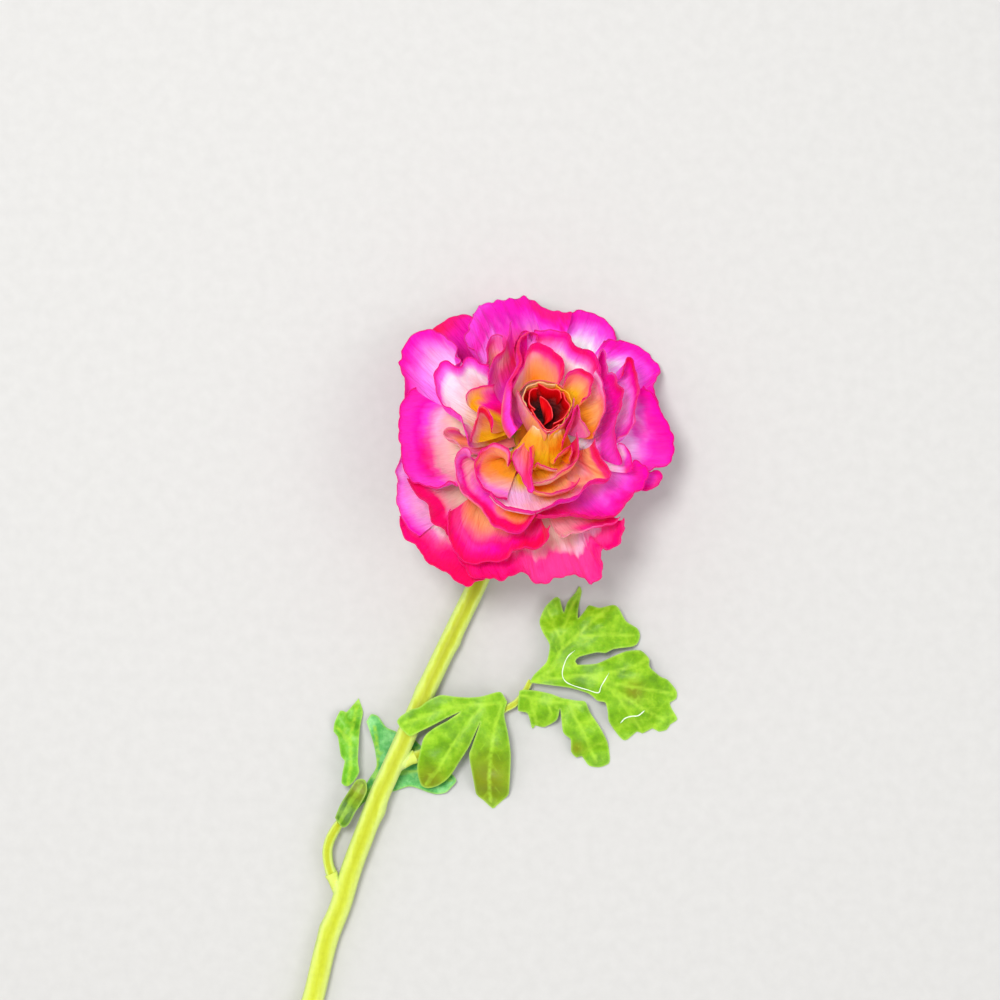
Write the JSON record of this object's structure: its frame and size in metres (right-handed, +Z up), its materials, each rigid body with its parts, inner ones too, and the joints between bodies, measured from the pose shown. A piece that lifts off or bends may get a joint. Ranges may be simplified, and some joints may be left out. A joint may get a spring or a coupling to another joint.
{
  "type": "artificial ranunculus flower",
  "caption": "Artificial ranunculus in full bloom: layered ruffled pink petals with a dark red eye on a bent green stem with lobed leaves, lying on a surface.",
  "frame": {"origin": "centre of the bounding box in plan, on the surface the flower lies on", "axes": "+Z up from the surface, towards the viewer of the open head; +Y the way the stem leads up to the head; +X to the right of it"},
  "size_m": [0.1132, 0.2152, 0.044],
  "materials": {
    "petal_fabric": "dyed petal cloth, magenta edge fading through white to orange",
    "eye_fabric": "dyed petal cloth, dark red with frayed edges",
    "hub_plastic": "moulded, matte",
    "stem_plastic": "soft moulded, satin, with long ridges",
    "leaf_plastic": "soft moulded, satin, veined",
    "wire_steel": "drawn steel wire"
  },
  "bodies": {
    "root": {"calyx": "leaf_plastic", "collar_back": "petal_fabric", "collar_left": "petal_fabric", "collar_right": "petal_fabric", "eye_back": "eye_fabric", "eye_fold": "eye_fabric", "eye_front": "eye_fabric", "eye_left": "eye_fabric", "eye_right": "eye_fabric", "leaf_left_back": "leaf_plastic", "leaf_left_fold": "leaf_plastic", "leaf_left_front": "leaf_plastic", "leaf_mid": "leaf_plastic", "leaf_right_lower": "leaf_plastic", "leaf_right_upper": "leaf_plastic", "left_stalk": "stem_plastic", "main_stem": "stem_plastic", "outer_back": "petal_fabric", "outer_back_left": "petal_fabric", "outer_back_right": "petal_fabric", "outer_front": "petal_fabric", "outer_front_left": "petal_fabric", "outer_left": "petal_fabric", "outer_right": "petal_fabric", "outer_right_small": "petal_fabric", "outer_right_upper": "petal_fabric", "petal_back_inner": "petal_fabric", "petal_back_left_fold": "petal_fabric", "petal_back_left_slip": "petal_fabric", "petal_back_pink": "petal_fabric", "petal_back_red": "petal_fabric", "petal_boat": "petal_fabric", "petal_cradle_inner": "petal_fabric", "petal_cup": "petal_fabric", "petal_curl_inner": "petal_fabric", "petal_front_cream": "petal_fabric", "petal_front_inner": "petal_fabric", "petal_front_left": "petal_fabric", "petal_front_right": "petal_fabric", "petal_heart": "petal_fabric", "petal_hood": "petal_fabric", "petal_hub": "hub_plastic", "petal_leafy_inner": "petal_fabric", "petal_left_amber": "petal_fabric", "petal_left_big": "petal_fabric", "petal_left_crimson": "petal_fabric", "petal_left_curl": "petal_fabric", "petal_left_red": "petal_fabric", "petal_left_upper": "petal_fabric", "petal_pocket": "petal_fabric", "petal_right_amber": "petal_fabric", "petal_right_inner": "petal_fabric", "petal_right_ribbon": "petal_fabric", "petal_right_small": "petal_fabric", "petal_right_tall": "petal_fabric", "petal_strand": "petal_fabric", "petal_tip_inner": "petal_fabric", "right_stalk": "stem_plastic", "stem_wire": "wire_steel"}
  },
  "joints": []
}
